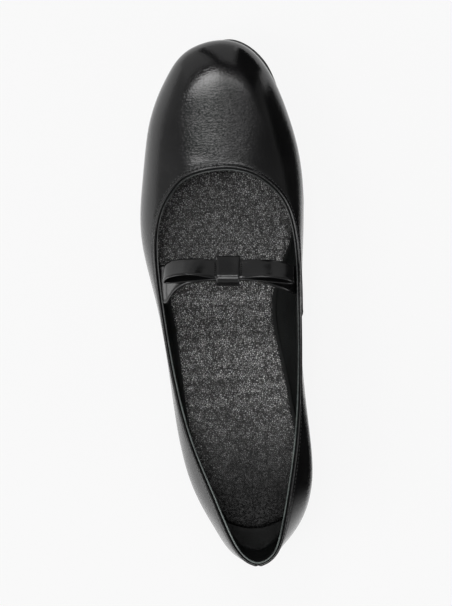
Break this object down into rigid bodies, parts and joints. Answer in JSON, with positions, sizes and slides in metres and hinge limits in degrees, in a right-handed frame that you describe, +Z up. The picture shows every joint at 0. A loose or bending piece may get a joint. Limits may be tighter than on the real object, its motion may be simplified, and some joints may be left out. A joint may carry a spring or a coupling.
{
  "type": "ballet flat",
  "caption": "Low closed ballet flat for the left foot, with a round toe, a scooped throat, an instep band and a flat bow.",
  "frame": {"origin": "middle of the floor rectangle under the shoe, on the floor", "axes": "+Y from heel to toe, +X to the medial (inner) side, +Z up"},
  "size_m": [0.0795, 0.2495, 0.0581],
  "materials": {
    "upper_leather": "smooth black nappa with a soft gloss and a fine grain",
    "sock_leather": "black pebbled leather, semi-matt",
    "sole_rubber": "black, matt"
  },
  "bodies": {
    "root": {"upper": "upper_leather", "outsole": "sole_rubber", "heel": "sole_rubber", "insole": "sock_leather", "instep_band": "upper_leather", "bow": "upper_leather", "bow_knot": "upper_leather"}
  },
  "joints": []
}
